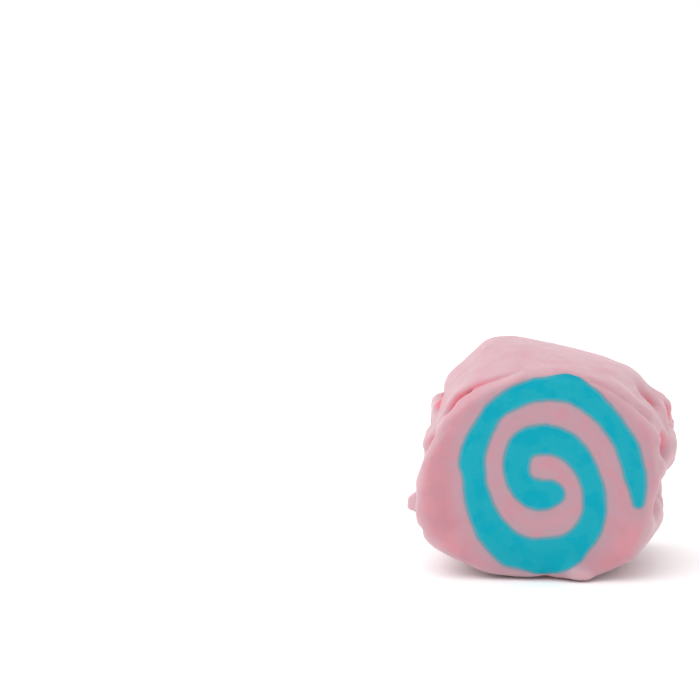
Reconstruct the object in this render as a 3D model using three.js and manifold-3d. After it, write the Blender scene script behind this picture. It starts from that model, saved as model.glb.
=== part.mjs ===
// One bare piece of pulled taffy, cut from a roll: a pink piece about as wide as it is high, with a blue
// sheet rolled up inside it that shows as a spiral on both cut faces. It stands on its curved side, on a
// small flat spot, with the roll's axis along Y and the face that is seen first towards -Y. Both ends of its
// width were pinched by the twists of a wrapper, which left mounds of creased lobes there.
// Millimetres, +Z up, origin on the surface that it stands on, under the middle of the piece.

import * as THREE from "three";
import { mergeVertices } from "three/addons/utils/BufferGeometryUtils.js";
import Module from "manifold-3d";

// The pink piece
const DEPTH = 17; // from cut face to cut face
const AXIS_HEIGHT = 10.6; // the roll's axis above the surface that the piece stands on
const RIM_SOFTNESS = 1.1; // how far the rounding of a rim reaches along the face and along the side
const CROWN = 0.45; // how far the middle of a cut face stands out past its rim
const FLAT_SHARE = 0.55; // share of a cut face's radius that is flat, before it falls away to the rim

// Distance from the axis at each sixteenth of a turn, from +X towards +Z: at the front rim, and half way
// back, where the piece bulges out. The back rim is a little smaller than the bulge all round.
const FRONT_RIM = [
  11.1, 11.1, 10.25, 9.9, 9.55, 9.4, 10.1, 10.25,
  11.4, 12.25, 12.0, 10.9, 10.25, 11.05, 12.1, 11.1,
];
const MIDDLE = [
  11.1, 11.95, 11.6, 10.6, 10.65, 11.75, 11.6, 11.1,
  10.75, 12.15, 12.3, 11.45, 10.95, 11.5, 13.05, 12.95,
];
const BACK_RIM_SHARE = 0.9;

// The blue sheet, in the plane of a cut face. Its middle line winds outward clockwise, seen from the front.
const SHEET_INNER_ANGLE = -96; // degrees, where the middle line starts
const SHEET_TURN = 635; // degrees, how far it winds
const SHEET_START_RADIUS = 1.93;
const SHEET_PITCH = 4.3; // how far it moves outward in a turn
const SHEET_OVAL = 0.11; // share by which the roll is longer along its long direction
const SHEET_LONG_ANGLE = -80; // degrees, the long direction
const SHEET_CENTRE = [-0.34, 8.11];
const SHEET_DRIFT = [0.86, 1.38]; // how far the roll's centre moves from the inner end to the outer end
const SHEET_HOOK = [1.42, 2.62]; // how far the inner end is pushed off that centre
const SHEET_HOOK_FADE = 2.5; // radians of winding in which that push dies away
const SHEET_THICKNESS = 2.45;
const SHEET_THICKNESS_GAIN = 0.11; // from the inner end to the outer end
const SHEET_SWELL = { size: 0.4, angle: 136 }; // thicker on one side of the roll
const SHEET_SQUEEZE = { size: 0.38, angle: 82 }; // thicker at both ends of one direction
const SHEET_SAG = { size: 1.3, angle: -77 }; // thicker at the bottom, growing towards the outer end
const SHEET_TAPER = 24; // degrees of winding in which the outer end thins out
const SHEET_TIP = 0.45; // share of the thickness that the outer end keeps

// Bumps of the sheet's edges, each at so many degrees of winding. A dent has a height below 0.
const SHEET_OUTER_BUMPS = [
  { place: 152, spread: 22, height: 0.34 },
  { place: 270, spread: 20, height: 0.12 },
  { place: 320, spread: 9, height: -0.2 },
  { place: 366, spread: 8, height: -0.26 },
  { place: 460, spread: 5, height: 0.33 },
  { place: 471, spread: 9, height: 0.38 },
  { place: 548, spread: 13, height: 0.55 },
  { place: 598, spread: 8, height: 0.16 },
];
const SHEET_INNER_BUMPS = [
  { place: 45, spread: 45, height: 0.27 },
  { place: 146, spread: 19, height: -0.3 },
  { place: 350, spread: 26, height: 0.4 },
  { place: 501, spread: 9, height: -0.2 },
  { place: 545, spread: 14, height: -0.12 },
];
const SHEET_GAP = 0.25; // clear space between the blue sheet and the pink that it lies in

// Relief of the pink skin. A fold runs along its points, each given as an angle round the axis in degrees
// and a distance in millimetres behind the front rim, less than 0 on the front face. A hollow has a height
// below 0.
const FOLDS = {
  // right: the mound that a twist of the wrapper left, with its lobes and the creases that run out from it
  rightMound: { points: [[15, 8.5], [7, 8.5]], width: 3.6, height: 0.75 },
  rightEar: { points: [[26, 8.8], [18, 9.0], [10.5, 8.7]], width: 0.9, height: 0.7 },
  rightFrontLobe: { points: [[23, 6.8], [17, 6.3], [13, 6.1]], width: 1.0, height: 0.4 },
  rightLump: { points: [[5.5, 5.8], [1, 7.0]], width: 1.3, height: 1.2 },
  rightHollow: { points: [[34, 5.5], [31, 5.7], [28, 5.8]], width: 0.9, height: -0.5 },
  rightRedCrease: { points: [[10.5, 2.6], [7.5, 3.0], [4, 3.3]], width: 1.0, height: -0.5 },
  rightRidge: { points: [[50, 1.8], [36, 1.4], [25, 2.4], [15, 4.0]], width: 0.8, height: 0.25 },
  rightRimLobe: { points: [[2.5, 1.6], [0, 2.0]], width: 0.75, height: 0.6 },
  rightNotch: { points: [[-17, 2.5], [-13.5, 4.5], [-14, 7], [-11.5, 8.8]], width: 1.25, height: -1.5 },
  rightBackHollow: { points: [[20, 11.5], [30, 13.5], [42, 15.5]], width: 1.1, height: -0.5 },
  rightBackFold: { points: [[11, 11.5], [12, 16.2]], width: 1.0, height: -0.45 },
  rightBackCrease: { points: [[3, 11], [-6, 13.5], [-16, 15.5]], width: 1.0, height: -0.5 },
  rightUnderFold: { points: [[-6, 9], [-18, 10.5], [-32, 11]], width: 1.0, height: -0.4 },
  // left: the mound of the other twist, down to the bulge at the lower left
  leftMound: { points: [[165, 8.5], [157, 8.5]], width: 3.0, height: 0.35 },
  leftLobe: { points: [[152.5, 6], [153.5, 8.5]], width: 1.2, height: 0.4 },
  leftLowLobe: { points: [[169, 2.8], [166, 4.5]], width: 0.9, height: 0.45 },
  leftStep: { points: [[149, 6.4], [147.5, 7.6], [146, 10]], width: 0.6, height: -0.7 },
  leftShoulder: { points: [[144, 7.5], [139, 9.0]], width: 1.5, height: 0.3 },
  leftCrease: { points: [[170.5, 1.4], [166, 1.6], [162.5, 1.3]], width: 0.5, height: -0.2 },
  leftFan1: { points: [[163, 5.5], [160, 8]], width: 0.8, height: -0.2 },
  leftFan2: { points: [[186, 3.2], [183, 5], [174, 8]], width: 0.8, height: -0.5 },
  leftNub: { points: [[198.7, 3.2], [195.4, 3.3]], width: 0.42, height: 0.88 },
  leftFan3: { points: [[208, 0.8], [207, 3.0], [194, 8.8]], width: 0.35, height: -0.3 },
  leftLowerLobe: { points: [[209, 0.8], [208.5, 4.5]], width: 1.3, height: 0.5 },
  leftBackFan1: { points: [[152, 10.5], [145, 13], [138, 15.5]], width: 1.0, height: -0.45 },
  leftBackFan2: { points: [[160, 11], [161, 16.2]], width: 0.9, height: -0.4 },
  leftBackFan3: { points: [[170, 10.5], [179, 13], [190, 15.8]], width: 1.0, height: -0.5 },
  leftBackFan4: { points: [[178, 9.5], [194, 11.5], [214, 13.5]], width: 1.0, height: -0.4 },
  // outline: slight swells and dents between the mounds
  leftNubBase: { points: [[201, 1.5], [200, 4]], width: 1.2, height: 0.3 },
  leftEdgeSwell: { points: [[187, -0.3], [186, 1.5]], width: 1.0, height: 0.28 },
  rightShoulder: { points: [[40, 8], [41, 11.5]], width: 1.3, height: 0.27 },
  upperLeftSwell: { points: [[116, 8], [116, 11.5]], width: 1.1, height: 0.22 },
  lowerLeftSwell: { points: [[217, -0.4], [218, 4]], width: 1.0, height: 0.28 },
  lowerLeftDent: { points: [[232, -0.6], [232, 5]], width: 1.0, height: -0.2 },
  lowerRightDent: { points: [[-52, -0.8], [-47, 5]], width: 1.7, height: -0.27 },
  lowerRightSwell: { points: [[-26, 1], [-25, 6]], width: 1.0, height: 0.25 },
  // bottom: the corner that the front rim stands on, and the gap beside it
  frontFoot: { points: [[-71, -0.5], [-67, -0.2]], width: 0.9, height: 0.6 },
  footGap: { points: [[-86, -0.4], [-87, 1.5]], width: 0.9, height: -0.22 },
  // upper left: the crease behind the front rim
  rimCrease: { points: [[150, 1.5], [145.5, 1.05], [141, 1.2], [132.8, 0.9]], width: 0.4, height: -0.25 },
  rimCreaseEnd: { points: [[132.8, 0.9], [124, 0.75], [104, 0.65]], width: 0.5, height: -0.13 },
};

// How finely the skin is faceted
const ROUND_STEPS = 112;
const ROUND_CROWDING = 0.25; // how far the steps crowd together at the two mounds, where the creases are
const FACE_ROWS = 2; // outside the flat middle of a cut face
const RIM_ROWS = 3;
const SIDE_ROWS = 24;
const SHEET_STEPS = 100;
const TIP_STEPS = 6;

const PINK = new THREE.MeshStandardMaterial({ color: 0xeeb4c0, roughness: 0.55, metalness: 0 });
const BLUE = new THREE.MeshStandardMaterial({ color: 0x2fb0c4, roughness: 0.5, metalness: 0 });

const { degToRad, lerp, clamp, euclideanModulo } = THREE.MathUtils;

// A value at any angle from values at equal steps of a turn, joined by a smooth closed curve.
function round(values, angle) {
  const place = euclideanModulo(angle / (2 * Math.PI), 1) * values.length;
  const step = Math.floor(place);
  const t = place - step;
  const [before, a, b, after] = [-1, 0, 1, 2].map((k) => values[euclideanModulo(step + k, values.length)]);
  const slopeA = (b - before) / 2;
  const slopeB = (after - a) / 2;
  const fall = t * t * (3 - 2 * t);
  return lerp(a, b, fall) + slopeA * t * (1 - t) ** 2 - slopeB * (1 - t) * t ** 2;
}

// How far one fold lifts the skin at an angle round the axis and a distance behind the front rim.
function foldLift({ points, width, height }, angle, behind) {
  const arc = (turn) => AXIS_HEIGHT * (euclideanModulo(turn + Math.PI, 2 * Math.PI) - Math.PI);
  const distances = points.slice(1).map(([nextAngle, nextBehind], i) => {
    const [startAngle, startBehind] = points[i];
    const toStart = new THREE.Vector2(arc(angle - degToRad(startAngle)), behind - startBehind);
    const run = new THREE.Vector2(arc(degToRad(nextAngle - startAngle)), nextBehind - startBehind);
    const share = clamp(toStart.dot(run) / run.lengthSq(), 0, 1);
    return toStart.addScaledVector(run, -share).length();
  });
  return height * Math.exp(-((Math.min(...distances) / width) ** 2));
}

// Points of the skin from the middle of the front face, over the side, to the middle of the back face. Each
// is its distance from the axis, its place along the axis and its distance behind the front rim.
function meridian(angle) {
  const front = round(FRONT_RIM, angle);
  const middle = round(MIDDLE, angle);
  const back = BACK_RIM_SHARE * middle;
  const bulge = middle - (front + back) / 2;
  const side = (t) => [lerp(front, back, t) + 4 * t * (1 - t) * bulge, (t - 0.5) * DEPTH];
  const crown = (r, rim) => CROWN * (1 - Math.max(0, (r / rim - FLAT_SHARE) / (1 - FLAT_SHARE)) ** 2);
  const bend = (a, corner, b, t) =>
    [0, 1].map((k) => (1 - t) ** 2 * a[k] + 2 * t * (1 - t) * corner[k] + t ** 2 * b[k]);
  const edge = RIM_SOFTNESS / DEPTH;
  const points = [[0, -DEPTH / 2 - CROWN, -front]];
  for (let i = 0; i <= FACE_ROWS; i++) {
    const r = lerp(FLAT_SHARE * front, front - RIM_SOFTNESS, i / FACE_ROWS);
    points.push([r, -DEPTH / 2 - crown(r, front), r - front]);
  }
  for (let i = 1; i < RIM_ROWS; i++) {
    const t = i / RIM_ROWS;
    const [r, y] = bend([front - RIM_SOFTNESS, -DEPTH / 2], side(0), side(edge), t);
    points.push([r, y - crown(r, front) * (1 - t), lerp(-RIM_SOFTNESS, RIM_SOFTNESS, t)]);
  }
  for (let i = 0; i <= SIDE_ROWS; i++) {
    const t = lerp(edge, 1 - edge, i / SIDE_ROWS);
    points.push([...side(t), t * DEPTH]);
  }
  for (let i = 1; i < RIM_ROWS; i++) {
    const t = i / RIM_ROWS;
    const [r, y] = bend(side(1 - edge), side(1), [back - RIM_SOFTNESS, DEPTH / 2], t);
    points.push([r, y + crown(r, back) * t, DEPTH + lerp(-RIM_SOFTNESS, RIM_SOFTNESS, t)]);
  }
  for (let i = FACE_ROWS; i >= 0; i--) {
    const r = lerp(FLAT_SHARE * back, back - RIM_SOFTNESS, i / FACE_ROWS);
    points.push([r, DEPTH / 2 + crown(r, back), DEPTH + back - r]);
  }
  points.push([0, DEPTH / 2 + CROWN, DEPTH + back]);
  return points;
}

// One row of skin points at an angle, with the folds raised and the underside flattened.
function skinRow(angle) {
  const points = meridian(angle);
  return points.map(([r, y, behind], i) => {
    const next = points[Math.min(i + 1, points.length - 1)];
    const last = points[Math.max(i - 1, 0)];
    const along = new THREE.Vector2(next[0] - last[0], next[1] - last[1]).normalize();
    const lift = Object.values(FOLDS).reduce((sum, fold) => sum + foldLift(fold, angle, behind), 0);
    const reach = r + along.y * lift;
    return new THREE.Vector3(
      reach * Math.cos(angle),
      y - along.x * lift,
      Math.max(0, AXIS_HEIGHT + reach * Math.sin(angle)),
    );
  });
}

// The whole piece with nothing cut out of it: a turned blank whose points are moved out to the skin.
function skinGeometry() {
  const rowLength = meridian(0).length;
  const profile = Array.from({ length: rowLength }, (_, i) => {
    const turn = (Math.PI * i) / (rowLength - 1);
    return new THREE.Vector2(i === 0 || i === rowLength - 1 ? 0 : Math.sin(turn), Math.cos(turn));
  });
  const geometry = new THREE.LatheGeometry(profile, ROUND_STEPS);
  const position = geometry.getAttribute("position");
  for (let i = 0; i <= ROUND_STEPS; i++) {
    const turn = (-2 * Math.PI * (i % ROUND_STEPS)) / ROUND_STEPS;
    const row = skinRow(turn - ROUND_CROWDING * Math.sin(2 * turn));
    row.forEach(({ x, y, z }, j) => {
      const onAxis = j === 0 || j === rowLength - 1;
      position.setXYZ(i * rowLength + j, onAxis ? 0 : x, y, onAxis ? AXIS_HEIGHT : z);
    });
  }
  return geometry;
}

// The sheet's middle line at a share of its length, and its thickness there.
function sheetAt(share) {
  const wound = share * degToRad(SHEET_TURN);
  const angle = degToRad(SHEET_INNER_ANGLE) - wound;
  const swing = (degrees, times = 1) => Math.cos(times * (angle - degToRad(degrees)));
  const wide = 1 + SHEET_OVAL * swing(SHEET_LONG_ANGLE, 2);
  const radius = (SHEET_START_RADIUS + (SHEET_PITCH * wound) / (2 * Math.PI)) * wide;
  const push = Math.exp(-wound / SHEET_HOOK_FADE);
  const centre = SHEET_CENTRE.map((c, k) => c + SHEET_DRIFT[k] * share + SHEET_HOOK[k] * push);
  const point = new THREE.Vector2(centre[0] + radius * Math.cos(angle), centre[1] + radius * Math.sin(angle));
  const full =
    SHEET_THICKNESS +
    SHEET_THICKNESS_GAIN * share +
    SHEET_SWELL.size * swing(SHEET_SWELL.angle) +
    SHEET_SQUEEZE.size * swing(SHEET_SQUEEZE.angle, 2) +
    SHEET_SAG.size * share * swing(SHEET_SAG.angle);
  const left = clamp(((1 - share) * SHEET_TURN) / SHEET_TAPER, 0, 1);
  const thickness = full * lerp(SHEET_TIP, 1, Math.sin((left * Math.PI) / 2));
  return { point, thickness };
}

// How far the bumps move an edge of the sheet out at a share of its length.
function edgeBump(bumps, share) {
  const wound = share * SHEET_TURN;
  const one = ({ place, spread, height }) => height * Math.exp(-(((wound - place) / spread) ** 2));
  return bumps.reduce((sum, bump) => sum + one(bump), 0);
}

// Outline of the sheet in the plane of a cut face, with round ends, made thicker or thinner all round.
function sheetOutline(grow) {
  const along = (share) => {
    const step = 0.5 / SHEET_STEPS;
    const ahead = sheetAt(share + step).point;
    return ahead.sub(sheetAt(share - step).point).normalize();
  };
  const edge = (share, turn, bumps = []) => {
    const { point, thickness } = sheetAt(share);
    const way = along(share).rotateAround(new THREE.Vector2(), turn);
    return point.addScaledVector(way, thickness / 2 + grow + edgeBump(bumps, share));
  };
  const outline = [];
  for (let i = 0; i <= SHEET_STEPS; i++) {
    outline.push(edge(i / SHEET_STEPS, Math.PI / 2, SHEET_OUTER_BUMPS));
  }
  for (let i = 1; i < TIP_STEPS; i++) {
    outline.push(edge(1, Math.PI * (0.5 - i / TIP_STEPS)));
  }
  for (let i = SHEET_STEPS; i >= 0; i--) {
    outline.push(edge(i / SHEET_STEPS, -Math.PI / 2, SHEET_INNER_BUMPS));
  }
  for (let i = 1; i < TIP_STEPS; i++) {
    outline.push(edge(0, -Math.PI * (0.5 + i / TIP_STEPS)));
  }
  return outline;
}

// The sheet as a prism along Y that reaches past both cut faces.
function sheetGeometry(grow) {
  const length = 2 * DEPTH;
  const geometry = new THREE.ExtrudeGeometry(new THREE.Shape(sheetOutline(grow)), {
    depth: length,
    bevelEnabled: false,
  });
  return geometry.rotateX(Math.PI / 2).translate(0, length / 2, 0);
}

const wasm = await Module();
wasm.setup();

function toSolid(geometry) {
  const bare = geometry.index ? geometry.toNonIndexed() : geometry.clone();
  bare.deleteAttribute("normal");
  bare.deleteAttribute("uv");
  const merged = mergeVertices(bare, 1e-4);
  const corners = Array.from(merged.index.array);
  const triVerts = [];
  for (let i = 0; i < corners.length; i += 3) {
    const [a, b, c] = corners.slice(i, i + 3);
    if (a !== b && b !== c && c !== a) triVerts.push(a, b, c);
  }
  return new wasm.Manifold(
    new wasm.Mesh({
      numProp: 3,
      vertProperties: merged.getAttribute("position").array,
      triVerts: new Uint32Array(triVerts),
    }),
  );
}

function toMesh(solid, name, material) {
  const { vertProperties, triVerts } = solid.getMesh();
  const geometry = new THREE.BufferGeometry();
  geometry.setAttribute("position", new THREE.BufferAttribute(vertProperties, 3));
  geometry.setIndex(new THREE.BufferAttribute(triVerts, 1));
  geometry.translate(-middle.x, -middle.y, 0);
  geometry.computeVertexNormals();
  const mesh = new THREE.Mesh(geometry, material);
  mesh.name = name;
  return mesh;
}

const skinShape = skinGeometry();
skinShape.computeBoundingBox();
const middle = skinShape.boundingBox.getCenter(new THREE.Vector3());
const skin = toSolid(skinShape);
const pink = skin.subtract(toSolid(sheetGeometry(SHEET_GAP / 2)));
const blue = skin.intersect(toSolid(sheetGeometry(-SHEET_GAP / 2)));

const taffy = new THREE.Group();
taffy.add(toMesh(pink, "taffy_pink", PINK));
taffy.add(toMesh(blue, "taffy_swirl", BLUE));

export default taffy;
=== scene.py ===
"""Looks of a bare piece of pink taffy with a blue sheet rolled up in it, standing on its curved side.

The skin is one closed surface, worked out in millimetres from the same sizes as the solids. The blue sheet
cuts it into the two pieces, which replace the two solids.
"""

import math
from typing import NamedTuple

import bpy
import numpy as np
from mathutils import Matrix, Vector
from mathutils.kdtree import KDTree


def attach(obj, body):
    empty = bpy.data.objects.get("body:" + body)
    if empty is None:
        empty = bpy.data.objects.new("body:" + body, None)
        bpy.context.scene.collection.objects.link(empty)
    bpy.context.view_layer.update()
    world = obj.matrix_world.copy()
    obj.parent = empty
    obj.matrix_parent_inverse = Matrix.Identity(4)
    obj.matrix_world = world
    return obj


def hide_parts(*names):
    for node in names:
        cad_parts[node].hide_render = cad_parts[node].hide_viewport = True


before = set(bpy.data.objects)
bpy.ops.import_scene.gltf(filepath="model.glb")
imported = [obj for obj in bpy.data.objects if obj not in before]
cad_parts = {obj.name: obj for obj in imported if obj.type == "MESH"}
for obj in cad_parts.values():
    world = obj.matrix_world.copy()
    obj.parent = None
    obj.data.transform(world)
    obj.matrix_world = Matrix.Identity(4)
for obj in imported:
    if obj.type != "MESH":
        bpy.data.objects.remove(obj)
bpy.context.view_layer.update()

MM = 0.001

# The pink piece, in millimetres. Angles run round the roll's axis, from +X towards +Z.
DEPTH = 17.0  # from rim to rim
AXIS_HEIGHT = 10.6
RIM_SOFTNESS = 1.1
CROWN = 0.45  # how far the middle of each cut face stands out
FLAT_SHARE = 0.55  # share of the way to the rim over which that middle is flat
BACK_RIM_SHARE = 0.9  # size of the back rim as a share of the middle's
SHIFT = (-0.229, 0.052, 0.0)  # puts the middle of the piece's width and depth on the origin

# Distances from the axis at equal steps of a turn, at the front rim and halfway back
FRONT_RIM = (
    11.1, 11.1, 10.25, 9.9, 9.55, 9.4, 10.1, 10.25,
    11.4, 12.25, 12.0, 10.9, 10.25, 11.05, 12.1, 11.1,
)
MIDDLE = (
    11.1, 11.95, 11.6, 10.6, 10.65, 11.75, 11.6, 11.1,
    10.75, 12.15, 12.3, 11.45, 10.95, 11.5, 13.05, 12.95,
)

# The blue sheet, a spiral that winds outwards from its inner end
SHEET_INNER_ANGLE = -96
SHEET_TURN = 635  # degrees from end to end
SHEET_START_RADIUS = 1.93
SHEET_PITCH = 4.3  # how much its radius grows in a turn
SHEET_OVAL = 0.11  # share by which it is longer one way, and as much narrower across
SHEET_LONG_ANGLE = -80
SHEET_CENTRE = (-0.34, 8.11)
SHEET_DRIFT = (0.86, 1.38)  # how far that centre moves from the inner end to the outer
SHEET_HOOK = (1.42, 2.62)  # how far the inner end is pushed aside
SHEET_HOOK_FADE = 2.5  # radians of winding over which the push fades
SHEET_THICKNESS = 2.45
SHEET_THICKNESS_GAIN = 0.11  # how much thicker it is at the outer end
SHEET_SWELL = (0.4, 136)  # thicker towards this angle and thinner opposite
SHEET_SQUEEZE = (0.38, 82)  # thicker towards this angle and opposite, thinner across
SHEET_SAG = (1.3, -77)  # another swell, which grows from the inner end to the outer
SHEET_TAPER = 24  # degrees over which the outer end thins
SHEET_TIP = 0.45  # share of the thickness that is left there
SHEET_STEPS = 900

# Bumps of the sheet's edges: degrees of winding, spread in degrees, and height out of the sheet
SHEET_OUTER_BUMPS = (
    (152, 22, 0.34), (270, 20, 0.12), (320, 9, -0.2), (366, 8, -0.26),
    (460, 5, 0.33), (471, 9, 0.38), (548, 13, 0.55), (598, 8, 0.16),
)
SHEET_INNER_BUMPS = ((45, 45, 0.27), (146, 19, -0.3), (350, 26, 0.4), (501, 9, -0.2), (545, 14, -0.12))
SHEET_RAGGED = 0.07  # how uneven the sheet's edges are all along

# Folds of the skin, ridges up and hollows down: points as (angle in degrees, millimetres behind the front
# rim), then width and height in millimetres. Each twist of the wrapper left a mound with folds round it.
FOLDS = {
    "right mound": (((15, 8.5), (7, 8.5)), 3.6, 0.75),
    "right ear": (((26, 8.8), (18, 9.0), (10.5, 8.7)), 0.9, 0.7),
    "right front lobe": (((23, 6.8), (17, 6.3), (13, 6.1)), 1.0, 0.4),
    "right lump": (((5.5, 5.8), (1, 7.0)), 1.3, 1.2),
    "right hollow": (((34, 5.5), (31, 5.7), (28, 5.8)), 0.9, -0.5),
    "right red crease": (((10.5, 2.6), (7.5, 3.0), (4, 3.3)), 1.0, -0.5),
    "right ridge": (((50, 1.8), (36, 1.4), (25, 2.4), (15, 4.0)), 0.8, 0.25),
    "right rim lobe": (((2.5, 1.6), (0, 2.0)), 0.75, 0.6),
    "right notch": (((-17, 2.5), (-13.5, 4.5), (-14, 7), (-11.5, 8.8)), 1.25, -1.5),
    "right back hollow": (((20, 11.5), (30, 13.5), (42, 15.5)), 1.1, -0.5),
    "right back fold": (((11, 11.5), (12, 16.2)), 1.0, -0.45),
    "right back crease": (((3, 11), (-6, 13.5), (-16, 15.5)), 1.0, -0.5),
    "right under fold": (((-6, 9), (-18, 10.5), (-32, 11)), 1.0, -0.4),
    "left mound": (((165, 8.5), (157, 8.5)), 3.0, 0.35),
    "left lobe": (((152.5, 6), (153.5, 8.5)), 1.2, 0.4),
    "left low lobe": (((169, 2.8), (166, 4.5)), 0.9, 0.45),
    "left step": (((149, 6.4), (147.5, 7.6), (146, 10)), 0.6, -0.7),
    "left shoulder": (((144, 7.5), (139, 9.0)), 1.5, 0.3),
    "left crease": (((170.5, 1.4), (166, 1.6), (162.5, 1.3)), 0.5, -0.2),
    "left fan 1": (((163, 5.5), (160, 8)), 0.8, -0.2),
    "left fan 2": (((186, 3.2), (183, 5), (174, 8)), 0.8, -0.5),
    "left nub": (((198.7, 3.2), (195.4, 3.3)), 0.42, 0.88),
    "left fan 3": (((208, 0.8), (207, 3.0), (194, 8.8)), 0.35, -0.3),
    "left lower lobe": (((209, 0.8), (208.5, 4.5)), 1.3, 0.5),
    "left back fan 1": (((152, 10.5), (145, 13), (138, 15.5)), 1.0, -0.45),
    "left back fan 2": (((160, 11), (161, 16.2)), 0.9, -0.4),
    "left back fan 3": (((170, 10.5), (179, 13), (190, 15.8)), 1.0, -0.5),
    "left back fan 4": (((178, 9.5), (194, 11.5), (214, 13.5)), 1.0, -0.4),
    "left nub base": (((201, 1.5), (200, 4)), 1.2, 0.3),
    "left edge swell": (((187, -0.3), (186, 1.5)), 1.0, 0.28),
    "right shoulder": (((40, 8), (41, 11.5)), 1.3, 0.27),
    "upper left swell": (((116, 8), (116, 11.5)), 1.1, 0.22),
    "lower left swell": (((217, -0.4), (218, 4)), 1.0, 0.28),
    "lower left dent": (((232, -0.6), (232, 5)), 1.0, -0.2),
    "lower right dent": (((-52, -0.8), (-47, 5)), 1.7, -0.27),
    "lower right swell": (((-26, 1), (-25, 6)), 1.0, 0.25),
    "front foot": (((-71, -0.5), (-67, -0.2)), 0.9, 0.6),
    "foot gap": (((-86, -0.4), (-87, 1.5)), 0.9, -0.22),
    "rim crease": (((150, 1.5), (145.5, 1.05), (141, 1.2), (132.8, 0.9)), 0.4, -0.25),
    "rim crease end": (((132.8, 0.9), (124, 0.75), (104, 0.65)), 0.5, -0.13),
}

# Ridges and hollows too slight for the solids
SOFT_FORMS = (
    # the lip along the front rim, before the crease at the upper left
    (((103, 0.0), (118, -0.5), (130, -0.8), (143, -0.5), (152, 0.2), (160, 0.5)), 0.6, 0.22),
    # the hollow down the left of the front face
    (((165, -1.6), (185, -2.8), (210, -2.4)), 1.4, -0.3),
    # the second ridge from the front rim to the right lobe
    (((36, -0.3), (24, -0.6), (19, 0.2)), 0.8, 0.18),
    # the lip over the pocket at the right
    (((16, 0.9), (14, 2.6), (11, 5.0)), 0.5, 0.25),
    # the ridge that ends in the nub
    (((196.6, 4.2), (195, 7.5)), 0.7, 0.3),
    # the groove before the first ridge to the right lobe
    (((61, 0.2), (50, 0.5), (34, 0.5), (27, 1.0)), 0.5, -0.22),
)


class Crease(NamedTuple):
    """The sharp bottom of a fold. First and last are how much of it there is at either end."""

    points: tuple
    left: float  # width on the left side
    right: float  # width on the right side
    depth: float
    rise: float  # how far the left side stands above the right side
    painted_shade: float  # share of painted shade at the bottom of the crease
    first: float = 1.0
    last: float = 1.0


RIM_CREASE = ((152, 1.75), *FOLDS["rim crease"][0], *FOLDS["rim crease end"][0][1:])
CREASES = (
    # at the right: inside the ear, in the hollow before it, in the pocket behind the rim, and in the notch
    Crease(((26, 8.1), (20.5, 8.0), (18, 6.8), (15, 5.6)), 0.5, 0.4, 0.2, 0.3, painted_shade=0.87, last=0.9),
    Crease(((36, 4.2), (32, 5.4), (29, 6.1), (24.5, 6.5)), 0.7, 0.6, 0.3, 0.1, painted_shade=0.6, first=0.6),
    Crease(((16, 2.2), (12.5, 3.4), (8.5, 4.0), (3.5, 4.4)), 0.75, 0.5, 0.3, 0.2, painted_shade=0.75, last=0.6),
    Crease(FOLDS["right notch"][0], 0.7, 0.4, 0.2, 0.0, painted_shade=0.3, first=0.0),
    # at the left: in the step above the lobe, beside it, and in the folds under it
    Crease(FOLDS["left step"][0], 0.3, 0.3, 0.3, 0.1, painted_shade=0.75, first=0.9, last=0.5),
    Crease(
        ((155, 4.3), (151.5, 5.0), (148.8, 5.3), (145.5, 6.4)),
        0.55, 0.45, 0.25, 0.08, painted_shade=0.8, first=0.9, last=0.9,
    ),
    Crease(FOLDS["left crease"][0], 0.35, 0.3, 0.15, 0.25, painted_shade=0.7, first=0.8, last=0.8),
    Crease(FOLDS["left fan 2"][0], 0.35, 0.6, 0.35, 0.1, painted_shade=0.5, first=0.3),
    Crease(FOLDS["left fan 3"][0], 0.3, 0.6, 0.35, 0.1, painted_shade=0.5, first=0.2),
    Crease(RIM_CREASE, 0.28, 0.32, 0.2, 0.28, painted_shade=1.0, last=0.3),
)
CREASE_ROUNDING = 0.05
CREASE_NARROWEST = 0.35  # share of the width that is left at either end
CREASE_TAPER = 0.25  # share of the length over which it narrows
CREASE_FADE = (0.13, 0.04)  # shares of the length within and past either end over which it gets shallow
BANK_WIDTH = 1.6  # over which the side that stands higher comes down again
# Painted shade in the creases, with the red glow of light scattered in the sugar: how far it reaches and
# how it fades
SHADE_REACH = 1.3  # sideways, in widths
SHADE_FALL = 1.3  # how steeply the painted shade falls, as a power
SHADE_FADE = 1.1  # along the crease, at either end
SHADE_FADE_MOST = 0.4  # as a share of the length

# Pleats of the wrapper that run out from the middle of each mound: long ones over the parts that face
# sideways and back, short ones over the rest. Directions go from 0, towards the back, to 90, towards
# larger angles. A row has the mound's middle, first and last direction, how many, and a share of length.
PLEATS = (
    ((10, 9.6), -118, 78, 12, 1.0),
    ((10, 9.6), 92, 228, 6, 0.4),
    ((164, 9.4), -68, 128, 12, 1.0),
    ((164, 9.4), 145, 275, 6, 0.4),
)
PLEAT_START = 1.3
PLEAT_LENGTHS = (3.6, 7.0)
PLEAT_CURL = 25  # degrees at most, to either side
PLEAT_DEPTHS = (0.3, 0.6)
PLEAT_NARROW = 0.25
PLEAT_WIDE = (0.4, 0.7)
# share of painted shade at the bottom of each pleat
PLEAT_SHADE = 0.45

# Wrinkles all over the skin: height, size, and a factor on distances front to back, which draws them out
WRINKLES = ((0.05, 2.2, 0.45), (0.02, 0.8, 0.5))
REST_SOFTNESS = 0.12  # how gently the underside flattens where it rests

# The skin's mesh: points round the turn, and how much they crowd at the sides, where the folds are
ROUND_STEPS = 600
ROUND_CROWDING = 0.2
FACE_ROWS = 46
RIM_ROWS = 14
SIDE_ROWS = 120

# To paint shade into hollows and low parts and a highlight onto raised parts, the skin is set against what
# lies round it: how many steps of the mesh that is blurred over, and the difference in height from nothing
# to full
HOLLOW_REACH, HOLLOW_FULL = 7, 0.6
RAISED_REACH, RAISED_FULL = 18, 1.2
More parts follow.
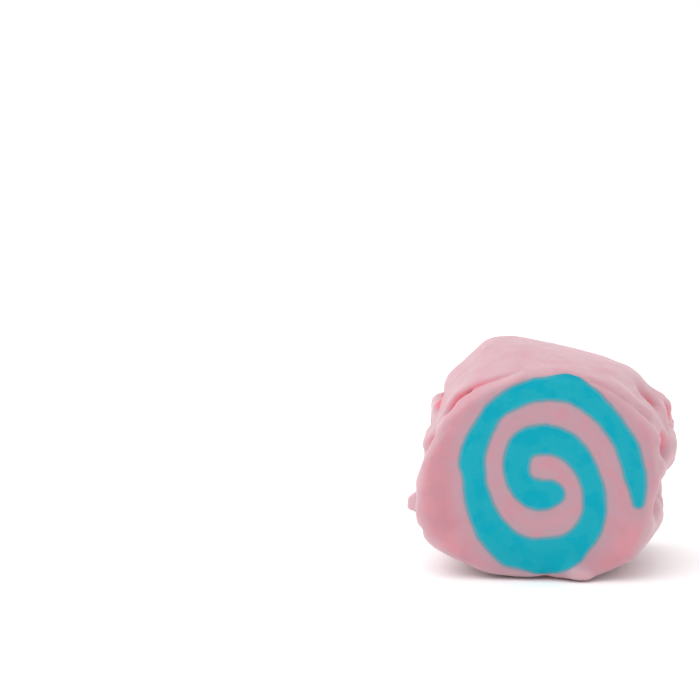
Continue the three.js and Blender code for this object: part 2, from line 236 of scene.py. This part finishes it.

# Colours. Near and far are from the edge of the other colour, and the blur is right at that edge. The crest
# colour is a painted highlight on raised parts; the valley, hollow and crease colours are painted shade in
# low parts, hollows and creases, the crease one with the red glow of light scattered in the sugar painted
# in too.
BLUR = (0.17, 0.29, 0.35)
PINK = {
    "pale": (0.505, 0.32, 0.355),
    "full": (0.5, 0.268, 0.308),
    "cut near": (0.447, 0.27, 0.315),
    "cut far": (0.56, 0.253, 0.295),
    "cut rich": (0.5, 0.247, 0.29),
    "crest highlight": (0.58, 0.4, 0.435),
    "valley shade": (0.48, 0.2, 0.245),
    "hollow": (0.48, 0.085, 0.13),
    "crease": (0.64, 0.11, 0.165),
}
BLUE = {
    "pale": (0.006, 0.35, 0.45),
    "full": (0.002, 0.29, 0.39),
    "cut near": (0.012, 0.35, 0.43),
    "cut far": (0.004, 0.338, 0.422),
    "cut rich": (0.0, 0.33, 0.43),
    "crest highlight": (0.006, 0.34, 0.43),
    "valley shade": (0.004, 0.33, 0.42),
    "hollow": (0.0, 0.22, 0.3),
    "crease": (0.0, 0.22, 0.3),
}

# Light in the sugar: how much of it goes in, how far, and the share of that for red, green and blue
SUBSURFACE = 0.7
SUBSURFACE_REACH = 0.8
SUBSURFACE_SPREAD = (1.0, 0.35, 0.35)


def lerp(a, b, t):
    return a + (b - a) * t


def smoothstep(low, high, x):
    t = np.clip((x - low) / (high - low), 0, 1)
    return t * t * (3 - 2 * t)


def fading_ends(share, within, past=0.0):
    """1 along a line, down to 0 at its ends: from a share within each end to a share past it."""
    return smoothstep(-past, within, share) * smoothstep(1 + past, 1 - within, share)


def round_values(values, angle):
    """A value at any angle from values at equal steps of a turn, joined by a smooth closed curve."""
    v = np.asarray(values, float)
    place = np.mod(angle / (2 * np.pi), 1) * len(v)
    step = np.floor(place).astype(int)
    t = place - step
    before, a, b, after = (v[(step + k) % len(v)] for k in (-1, 0, 1, 2))
    fall = t * t * (3 - 2 * t)
    return lerp(a, b, fall) + (b - before) / 2 * t * (1 - t) ** 2 - (after - a) / 2 * (1 - t) * t**2


def arc(turn):
    """Millimetres round the skin for an angle, taken the shorter way."""
    return AXIS_HEIGHT * (np.mod(turn + np.pi, 2 * np.pi) - np.pi)


def distance_to_line(points, angle, behind):
    """Distance on the skin to a line through points, below zero on its left.

    Also gives where along the line the nearest place is, as a share of its length, and that length.
    """
    best = np.full(np.broadcast(angle, behind).shape, 1e9)
    best_share = np.zeros_like(best)
    side = np.ones_like(best)
    runs = [(arc(math.radians(a1 - a0)), b1 - b0) for (a0, b0), (a1, b1) in zip(points, points[1:])]
    lengths = [math.hypot(*run) for run in runs]
    done = 0.0
    for (a0, b0), (dx, dy), length in zip(points, runs, lengths):
        px, py = arc(angle - math.radians(a0)), behind - b0
        share = np.clip((px * dx + py * dy) / length**2, 0, 1)
        away = np.hypot(px - dx * share, py - dy * share)
        nearer = away < best
        best = np.where(nearer, away, best)
        best_share = np.where(nearer, (done + share * length) / sum(lengths), best_share)
        side = np.where(nearer, np.where(dx * py < dy * px, -1, 1), side)
        done += length
    return best * side, best_share, sum(lengths)


def fold_lift(forms, angle, behind):
    """How far ridges and hollows move the skin."""
    lift = np.zeros(np.broadcast(angle, behind).shape)
    for points, width, height in forms:
        away, _, _ = distance_to_line(points, angle, behind)
        lift += height * np.exp(-((away / width) ** 2))
    return lift


def golden(k):
    """Numbers from 0 to 1 that are well spread and the same on every run."""
    return k * 0.618034 % 1


def pleats():
    """The pleats of both mounds as creases."""
    found = []
    for (turn, behind), first, last, count, full in PLEATS:
        for k in range(count):
            way = math.radians(lerp(first, last, (k + 0.6 * golden(k)) / count))
            curl = math.radians(lerp(-PLEAT_CURL, PLEAT_CURL, golden(3 * k + 1)))
            length = lerp(*PLEAT_LENGTHS, golden(2 * k + 1)) * full
            start = PLEAT_START * lerp(0.6, 1.3, golden(5 * k + 2))
            points = []
            for share in (0, 0.5, 1):
                out = start + length * share
                side = math.degrees(out * math.sin(way + curl * share) / AXIS_HEIGHT)
                points.append((turn + side, behind + out * math.cos(way + curl * share)))
            wide = lerp(*PLEAT_WIDE, golden(k + 3))
            widths = (PLEAT_NARROW, wide) if k % 3 else (wide, PLEAT_NARROW)
            depth = lerp(*PLEAT_DEPTHS, golden(4 * k + 2))
            found.append(Crease(tuple(points), *widths, depth, 0.0, PLEAT_SHADE, last=0.0))
    return tuple(found)


def crease_lift(angle, behind):
    """How far the creases move the skin, and the share of painted shade in a crease at each point, from 0
    to 1.
    """
    fall = np.zeros(np.broadcast(angle, behind).shape)
    rises = np.zeros_like(fall)
    crease_shade = np.zeros_like(fall)
    for crease in (*CREASES, *pleats()):
        away, share, length = distance_to_line(crease.points, angle, behind)
        width = np.where(away < 0, crease.left, crease.right)
        width = width * lerp(CREASE_NARROWEST, 1, fading_ends(share, CREASE_TAPER))
        kept = lerp(crease.first, crease.last, smoothstep(0, 1, share)) * fading_ends(share, *CREASE_FADE)
        bottom = np.exp(-np.hypot(away, CREASE_ROUNDING) / width)
        fall = np.minimum(fall, -crease.depth * kept * bottom)
        past = np.maximum(0, -away)
        bank = (1 - np.exp(-((past / crease.left) ** 2))) * np.exp(-((past / BANK_WIDTH) ** 2))
        rises += crease.rise * kept * bank
        # painted shade: strongest at the bottom of the crease, falling off sideways and towards its ends
        fade = min(SHADE_FADE_MOST, SHADE_FADE / length)
        near = np.exp(-((np.abs(away) / (SHADE_REACH * width)) ** SHADE_FALL))
        crease_shade = np.maximum(crease_shade, crease.painted_shade * kept * fading_ends(share, fade, 0.2 * fade) * near)
    return fall + rises, crease_shade


def noise(points, size, seed):
    """Smooth noise at each of the points, about -1 to 1, one bump per size, the same on every run."""
    p = np.asarray(points, float) / size + seed * 17.31
    cell = np.floor(p).astype(np.int64)
    f = p - cell
    ease = f * f * f * (f * (f * 6 - 15) + 10)
    total = np.zeros(len(p))
    for dx in (0, 1):
        for dy in (0, 1):
            for dz in (0, 1):
                corner = cell + (dx, dy, dz)
                h = corner[:, 0] * 374761393 + corner[:, 1] * 668265263 + corner[:, 2] * 2147483647
                h = (h ^ (h >> 13)) * 1274126177 & 0xFFFFFFFF
                h = (h ^ (h >> 16)) * 2246822519 & 0xFFFFFFFF
                turn = (h & 0xFFFF) / 65536 * 2 * np.pi
                tall = ((h >> 16) & 0xFFFF) / 32768 - 1
                flat = np.sqrt(np.maximum(0, 1 - tall * tall))
                d = f - (dx, dy, dz)
                dot = d[:, 0] * flat * np.cos(turn) + d[:, 1] * flat * np.sin(turn) + d[:, 2] * tall
                wx = ease[:, 0] if dx else 1 - ease[:, 0]
                wy = ease[:, 1] if dy else 1 - ease[:, 1]
                wz = ease[:, 2] if dz else 1 - ease[:, 2]
                total += dot * wx * wy * wz
    return total * 1.5


def meridian(angle):
    """The bare form's points from the middle of the front face to that of the back face, a row per angle.

    Gives each one's distance from the axis, place along the axis and distance behind the front rim.
    """
    front = round_values(FRONT_RIM, angle)
    middle = round_values(MIDDLE, angle)
    back = BACK_RIM_SHARE * middle
    bulge = middle - (front + back) / 2
    edge = RIM_SOFTNESS / DEPTH

    def side(t):
        return lerp(front, back, t) + 4 * t * (1 - t) * bulge, (t - 0.5) * DEPTH + 0 * front

    def crown(r, rim):
        return CROWN * (1 - np.maximum(0, (r / rim - FLAT_SHARE) / (1 - FLAT_SHARE)) ** 2)

    def bend(a, corner, b, t):
        return tuple((1 - t) ** 2 * p + 2 * t * (1 - t) * q + t * t * s for p, q, s in zip(a, corner, b))

    rows = []
    for i in range(FACE_ROWS + 1):
        r = (front - RIM_SOFTNESS) * i / FACE_ROWS
        rows.append((r, -DEPTH / 2 - crown(r, front), r - front))
    for i in range(1, RIM_ROWS):
        t = i / RIM_ROWS
        r, y = bend((front - RIM_SOFTNESS, -DEPTH / 2), side(0), side(edge), t)
        rows.append((r, y - crown(r, front) * (1 - t), lerp(-RIM_SOFTNESS, RIM_SOFTNESS, t) + 0 * r))
    for i in range(SIDE_ROWS + 1):
        t = lerp(edge, 1 - edge, i / SIDE_ROWS)
        rows.append((*side(t), t * DEPTH + 0 * front))
    for i in range(1, RIM_ROWS):
        t = i / RIM_ROWS
        r, y = bend(side(1 - edge), side(1), (back - RIM_SOFTNESS, DEPTH / 2), t)
        rows.append((r, y + crown(r, back) * t, DEPTH + lerp(-RIM_SOFTNESS, RIM_SOFTNESS, t) + 0 * r))
    for i in range(FACE_ROWS, -1, -1):
        r = (back - RIM_SOFTNESS) * i / FACE_ROWS
        rows.append((r, DEPTH / 2 + crown(r, back), DEPTH + back - r))
    return (np.stack(values, 1) for values in zip(*rows))


def blurred(values, reach):
    """Values averaged twice over so many steps each way, round the turn and along the rows."""
    for _ in range(2):
        total = sum(np.roll(values, k, 0) for k in range(-reach, reach + 1))
        values = total / (2 * reach + 1)
        padded = np.pad(values, ((0, 0), (reach, reach)), "edge")
        values = sum(padded[:, k : k + values.shape[1]] for k in range(2 * reach + 1)) / (2 * reach + 1)
    return values


def grid_normals(points):
    """Directions straight out of the skin."""
    round_way = np.roll(points, -1, 0) - np.roll(points, 1, 0)
    along_way = np.gradient(points, axis=1)
    normals = np.cross(round_way, along_way)
    length = np.linalg.norm(normals, axis=-1, keepdims=True)
    return -normals / np.maximum(length, 1e-9)


def join_poles(points):
    """Makes the first points of all rows one point, and the last ones too."""
    points[:, 0] = points[:, 0].mean(0)
    points[:, -1] = points[:, -1].mean(0)


def wrinkled(points):
    """The points moved out and in by the small wrinkles."""
    lift = np.zeros(points.shape[:2])
    for seed, (height, size, along) in enumerate(WRINKLES, 1):
        lift += height * noise((points * (1, along, 1)).reshape(-1, 3), size, seed).reshape(lift.shape)
    return points + grid_normals(points) * lift[..., None]


def skin():
    """The skin's points in millimetres, by angles and rows, and what is known about each point."""
    turn = np.arange(ROUND_STEPS) * 2 * np.pi / ROUND_STEPS
    angle = turn - ROUND_CROWDING * np.sin(2 * turn)
    r, y, behind = meridian(angle)
    dr, dy = np.gradient(r, axis=1), np.gradient(y, axis=1)
    length = np.hypot(dr, dy)
    creased, crease_shade = crease_lift(angle[:, None], behind)
    folded = fold_lift((*FOLDS.values(), *SOFT_FORMS), angle[:, None], behind)
    lift = folded + creased
    reach = r + dy / length * lift
    x, z = reach * np.cos(angle)[:, None], AXIS_HEIGHT + reach * np.sin(angle)[:, None]
    points = np.stack([x, y - dr / length * lift, z], -1)
    join_poles(points)
    points = wrinkled(points)
    points[..., 2] = (points[..., 2] + np.hypot(points[..., 2], REST_SOFTNESS)) / 2
    points += SHIFT
    join_poles(points)
    # Painted shade in the hollows, with the notch left out, and a painted highlight on raised parts with
    # painted shade in low ones
    narrow = lift - fold_lift([FOLDS["right notch"]], angle[:, None], behind)
    hollow = np.clip((blurred(narrow, HOLLOW_REACH) - narrow) / HOLLOW_FULL, 0, 1)
    on_cut = smoothstep(0.5, -1.2, behind) + smoothstep(DEPTH - 0.5, DEPTH + 1.2, behind)
    raised = np.clip(0.5 + (lift - blurred(lift, RAISED_REACH)) / RAISED_FULL, 0, 1)
    return points, {"crease": crease_shade, "hollow": hollow, "raised": raised, "cut": on_cut}


def link_object(name, data):
    made = bpy.data.objects.new(name, data)
    bpy.context.scene.collection.objects.link(made)
    return made


def mesh_object(name, vertices, faces):
    mesh = bpy.data.meshes.new(name)
    mesh.from_pydata(vertices, [], faces)
    mesh.update()
    return link_object(name, mesh)


def skin_object(points):
    """The skin as one closed mesh, with the two poles as single points."""
    steps, rows = points.shape[:2]
    ring = points[:, 1:-1].reshape(-1, 3)
    vertices = np.concatenate([ring, points[0, :1], points[0, -1:]]) * MM
    inner = rows - 2
    first, last = len(ring), len(ring) + 1
    here = np.arange(steps)
    there = (here + 1) % steps
    quads = []
    for j in range(inner - 1):
        a, b = here * inner + j, there * inner + j
        quads.append(np.stack([a, b, b + 1, a + 1], 1))
    faces = np.concatenate(quads)[:, ::-1].tolist()
    faces += np.stack([here * inner, there * inner, here * 0 + first], 1).tolist()
    faces += np.stack([there * inner + inner - 1, here * inner + inner - 1, here * 0 + last], 1).tolist()
    return mesh_object("skin", vertices.tolist(), faces)


def sheet_at(share):
    """The sheet's middle line and thickness at shares of its length."""
    wound = share * math.radians(SHEET_TURN)
    angle = math.radians(SHEET_INNER_ANGLE) - wound

    def swing(degrees, times=1):
        return np.cos(times * (angle - math.radians(degrees)))

    oval = 1 + SHEET_OVAL * swing(SHEET_LONG_ANGLE, 2)
    radius = (SHEET_START_RADIUS + SHEET_PITCH * wound / (2 * np.pi)) * oval
    push = np.exp(-wound / SHEET_HOOK_FADE)
    x, z = (c + d * share + h * push for c, d, h in zip(SHEET_CENTRE, SHEET_DRIFT, SHEET_HOOK))
    points = np.stack([x + radius * np.cos(angle), z + radius * np.sin(angle)], -1)
    full = SHEET_THICKNESS + SHEET_THICKNESS_GAIN * share
    full = full + SHEET_SWELL[0] * swing(SHEET_SWELL[1]) + SHEET_SQUEEZE[0] * swing(SHEET_SQUEEZE[1], 2)
    full = full + SHEET_SAG[0] * share * swing(SHEET_SAG[1])
    left = np.clip((1 - share) * SHEET_TURN / SHEET_TAPER, 0, 1)
    return points, full * lerp(SHEET_TIP, 1, np.sin(left * np.pi / 2))


def edge_bump(bumps, share):
    """How far the bumps move an edge of the sheet outwards, at shares of its length."""
    wound = share * SHEET_TURN
    return sum(height * np.exp(-(((wound - place) / spread) ** 2)) for place, spread, height in bumps)


def sheet_outline():
    """The sheet's section as a closed outline in the plane of the cut faces."""
    share = np.linspace(0, 1, SHEET_STEPS + 1)
    points, thickness = sheet_at(share)
    step = 0.25 / SHEET_STEPS
    along = sheet_at(share + step)[0] - sheet_at(share - step)[0]
    along /= np.linalg.norm(along, axis=1, keepdims=True)
    across = np.stack([-along[:, 1], along[:, 0]], 1)
    half = thickness[:, None] / 2
    outer = half + edge_bump(SHEET_OUTER_BUMPS, share)[:, None]
    inner = half + edge_bump(SHEET_INNER_BUMPS, share)[:, None]
    left, right = points + across * outer, points - across * inner
    caps = []
    for k, way in ((-1, 1), (0, -1)):
        turn = np.linspace(0, np.pi, 16)[1:-1]
        round_way = np.cos(turn)[:, None] * across[k] + np.sin(turn)[:, None] * along[k]
        caps.append(points[k] + half[k] * way * round_way)
    outline = np.concatenate([left, caps[0], right[::-1], caps[1]])
    places = np.stack([outline[:, 0], 0 * outline[:, 0], outline[:, 1]], 1)
    for k in (0, 1):
        outline[:, k] += SHEET_RAGGED * (noise(places, 1.5, 11 + k) + 0.6 * noise(places, 0.6, 21 + k))
    return outline


def prism_object(outline):
    """The sheet as a prism along Y that reaches past both cut faces."""
    count = len(outline)
    front = np.stack([outline[:, 0] + SHIFT[0], np.full(count, -DEPTH), outline[:, 1]], 1)
    back = front * (1, -1, 1)
    vertices = np.concatenate([front, back]) * MM
    faces = [[i, (i + 1) % count, count + (i + 1) % count, count + i] for i in range(count)]
    faces.append(list(range(count - 1, -1, -1)))
    faces.append(list(range(count, 2 * count)))
    return mesh_object("sheet", vertices.tolist(), faces)


def carved(body, tool, operation, name):
    """What is left of body after a boolean with tool, as a new object."""
    modifier = body.modifiers.new("cut", "BOOLEAN")
    modifier.object = tool
    modifier.operation = operation
    modifier.solver = "MANIFOLD"
    shown = body.evaluated_get(bpy.context.evaluated_depsgraph_get())
    mesh = bpy.data.meshes.new_from_object(shown)
    body.modifiers.remove(modifier)
    mesh.name = name
    return link_object(name, mesh)


def make_material(name):
    """A new material, its nodes, its links and its shader."""
    material = bpy.data.materials.new(name)
    material.use_nodes = True
    nodes, links = material.node_tree.nodes, material.node_tree.links
    return material, nodes, links, nodes["Principled BSDF"]


class Graph:
    """Short ways to add nodes to a material."""

    def __init__(self, name):
        self.material, self.nodes, self.links, self.shader = make_material(name)

    def link(self, value, socket):
        if isinstance(value, bpy.types.NodeSocket):
            self.links.new(value, socket)
        else:
            socket.default_value = value

    def noise(self, size, detail):
        """Noise with one bump per size in millimetres."""
        coordinates = self.nodes.new("ShaderNodeTexCoord")
        mapping = self.nodes.new("ShaderNodeMapping")
        mapping.inputs["Scale"].default_value = (1000 / size,) * 3
        self.links.new(coordinates.outputs["Object"], mapping.inputs["Vector"])
        node = self.nodes.new("ShaderNodeTexNoise")
        node.inputs["Scale"].default_value = 1
        node.inputs["Detail"].default_value = detail
        node.inputs["Roughness"].default_value = 0.55
        self.links.new(mapping.outputs["Vector"], node.inputs["Vector"])
        return node.outputs["Fac"]

    def known(self, name):
        """A value stored at each point of the mesh."""
        node = self.nodes.new("ShaderNodeAttribute")
        node.attribute_name = name
        return node.outputs["Fac"]

    def remap(self, value, low, high, to_low=0.0, to_high=1.0):
        """A value eased from one range to another, and held at its ends."""
        node = self.nodes.new("ShaderNodeMapRange")
        node.interpolation_type = "SMOOTHSTEP"
        self.links.new(value, node.inputs["Value"])
        ends = {"From Min": low, "From Max": high, "To Min": to_low, "To Max": to_high}
        for name, number in ends.items():
            node.inputs[name].default_value = number
        return node.outputs["Result"]

    def mix(self, share, a, b):
        """Colour a, and b by a share."""
        node = self.nodes.new("ShaderNodeMix")
        node.data_type = "RGBA"
        self.link(share, node.inputs["Factor"])
        self.link((*a, 1) if isinstance(a, tuple) else a, node.inputs[6])
        self.link((*b, 1) if isinstance(b, tuple) else b, node.inputs[7])
        return node.outputs[2]

    def bump(self, height, depth, before=None):
        """Relief of a depth in millimetres, on top of the relief before."""
        node = self.nodes.new("ShaderNodeBump")
        node.inputs["Strength"].default_value = 1
        node.inputs["Distance"].default_value = depth * MM
        self.links.new(height, node.inputs["Height"])
        if before is not None:
            self.links.new(before, node.inputs["Normal"])
        return node.outputs["Normal"]


def taffy_material(name, colours, gloss, sheen):
    """Soft sugar: cloudy colour, painted shade in the creases and hollows, a painted highlight on raised
    parts and painted shade in low ones, a blur where colours meet, and a faint grain.
    """
    graph = Graph(name)
    colour = graph.mix(graph.remap(graph.noise(3.2, 3), 0.3, 0.7), colours["pale"], colours["full"])
    face = graph.mix(graph.remap(graph.known("apart"), 0.3, 2.4), colours["cut near"], colours["cut far"])
    face = graph.mix(graph.remap(graph.noise(2.2, 3), 0.48, 0.6, 0, 0.8), face, colours["cut rich"])
    face = graph.mix(graph.remap(graph.known("apart"), 0, 0.3, 0.9, 0), face, BLUR)
    colour = graph.mix(graph.remap(graph.known("cut"), 0.2, 0.9), colour, face)
    # painted highlight on raised parts, then painted shade in low parts, in the creases and in the hollows
    colour = graph.mix(graph.remap(graph.known("raised"), 0.5, 0.9, 0, 0.6), colour, colours["crest highlight"])
    colour = graph.mix(graph.remap(graph.known("raised"), 0.1, 0.5, 0.6, 0), colour, colours["valley shade"])
    colour = graph.mix(graph.remap(graph.known("crease"), 0.1, 0.8, 0, 0.9), colour, colours["crease"])
    colour = graph.mix(graph.remap(graph.known("hollow"), 0.2, 1.0, 0, 0.85), colour, colours["hollow"])
    graph.links.new(colour, graph.shader.inputs["Base Color"])
    roughness = graph.remap(graph.noise(1.1, 2), 0.3, 0.7, 0.42, 0.56)
    graph.links.new(roughness, graph.shader.inputs["Roughness"])
    relief = graph.bump(graph.noise(0.9, 3), 0.05)
    relief = graph.bump(graph.noise(0.16, 2), 0.012, before=relief)
    graph.links.new(relief, graph.shader.inputs["Normal"])
    graph.shader.inputs["Specular IOR Level"].default_value = gloss
    graph.shader.inputs["Sheen Weight"].default_value = sheen
    graph.shader.inputs["Sheen Roughness"].default_value = 0.5
    graph.shader.inputs["Subsurface Weight"].default_value = SUBSURFACE
    graph.shader.inputs["Subsurface Scale"].default_value = SUBSURFACE_REACH * MM
    graph.shader.inputs["Subsurface Radius"].default_value = SUBSURFACE_SPREAD
    return graph.material


def search_tree(places):
    """Finds which of some places is nearest."""
    tree = KDTree(len(places))
    for i, place in enumerate(places):
        tree.insert(place, i)
    tree.balance()
    return tree


def store(piece, name, values):
    """Stores a value at each vertex, for the material to read."""
    attribute = piece.data.attributes.new(name, "FLOAT", "POINT")
    attribute.data.foreach_set("value", np.asarray(values, np.float32))


def nearest_values(piece, points, known, outline):
    """Stores at each vertex what is known about the skin near it, and how far the other colour is."""
    tree = search_tree(points.reshape(-1, 3) * MM)
    nearest = [tree.find(v.co)[1] for v in piece.data.vertices]
    for name, values in known.items():
        store(piece, name, values.reshape(-1)[nearest])
    tree = search_tree([(x + SHIFT[0], 0, z) for x, z in outline])
    store(piece, "apart", [tree.find((v.co.x / MM, 0, v.co.z / MM))[2] for v in piece.data.vertices])


# The two pieces
points, known = skin()
body = skin_object(points)
outline = sheet_outline()
sheet = prism_object(outline)
pink = carved(body, sheet, "DIFFERENCE", "pink_taffy")
blue = carved(body, sheet, "INTERSECT", "blue_taffy")
for extra in (body, sheet):
    bpy.data.objects.remove(extra)

for piece, colours, gloss, sheen, node, slot in (
    (pink, PINK, 0.3, 0.1, "taffy_pink", "pink_taffy"),
    (blue, BLUE, 0.06, 0.0, "taffy_swirl", "blue_taffy"),
):
    nearest_values(piece, points, known, outline)
    piece.data.materials.clear()
    piece.data.materials.append(taffy_material(slot, colours, gloss, sheen))
    piece.data.shade_smooth()
    piece.data.set_sharp_from_angle(angle=math.radians(50))
    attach(piece, "root")
    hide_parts(node)
    print(piece.name, len(piece.data.polygons), "faces")

# Floor
floor = mesh_object("floor", [(-4, -4, 0), (4, -4, 0), (4, 4, 0), (-4, 4, 0)], [(0, 1, 2, 3)])
floor_material, _, _, floor_shader = make_material("floor")
floor_shader.inputs["Base Color"].default_value = (0.985, 0.985, 0.985, 1)
floor_shader.inputs["Roughness"].default_value = 0.9
floor.data.materials.append(floor_material)


def aim_from(item, place, aim):
    """Puts a camera or a lamp at a place and turns it towards another."""
    item.location = place
    item.rotation_euler = (aim - item.location).to_track_quat("-Z", "Y").to_euler()


# Camera, as far away as gives the photograph's perspective
camera_data = bpy.data.cameras.new("camera")
camera_data.lens = 135
camera_data.sensor_width = 36
camera_data.clip_start = 0.01
camera = link_object("camera", camera_data)
camera_place = (Vector((0, -250.53, 61.99)) + Vector(SHIFT)) * MM
camera_aim = (Vector((-18.21, -5.95, 21.57)) + Vector(SHIFT)) * MM
aim_from(camera, camera_place, camera_aim)
bpy.context.scene.camera = camera

# Light: white all round, and a wide lamp from above on the left
world = bpy.data.worlds.new("world")
world.use_nodes = True
world.node_tree.nodes["Background"].inputs["Color"].default_value = (1, 1, 1, 1)
world.node_tree.nodes["Background"].inputs["Strength"].default_value = 1.0
bpy.context.scene.world = world
key_data = bpy.data.lights.new("key", "AREA")
key_data.shape = "DISK"
key_data.size = 1.15
key_data.energy = 4.1
aim_from(link_object("key", key_data), Vector((-0.33, -0.17, 0.66)), Vector((0, 0, 0.01)))

bpy.context.scene.view_settings.view_transform = "Standard"
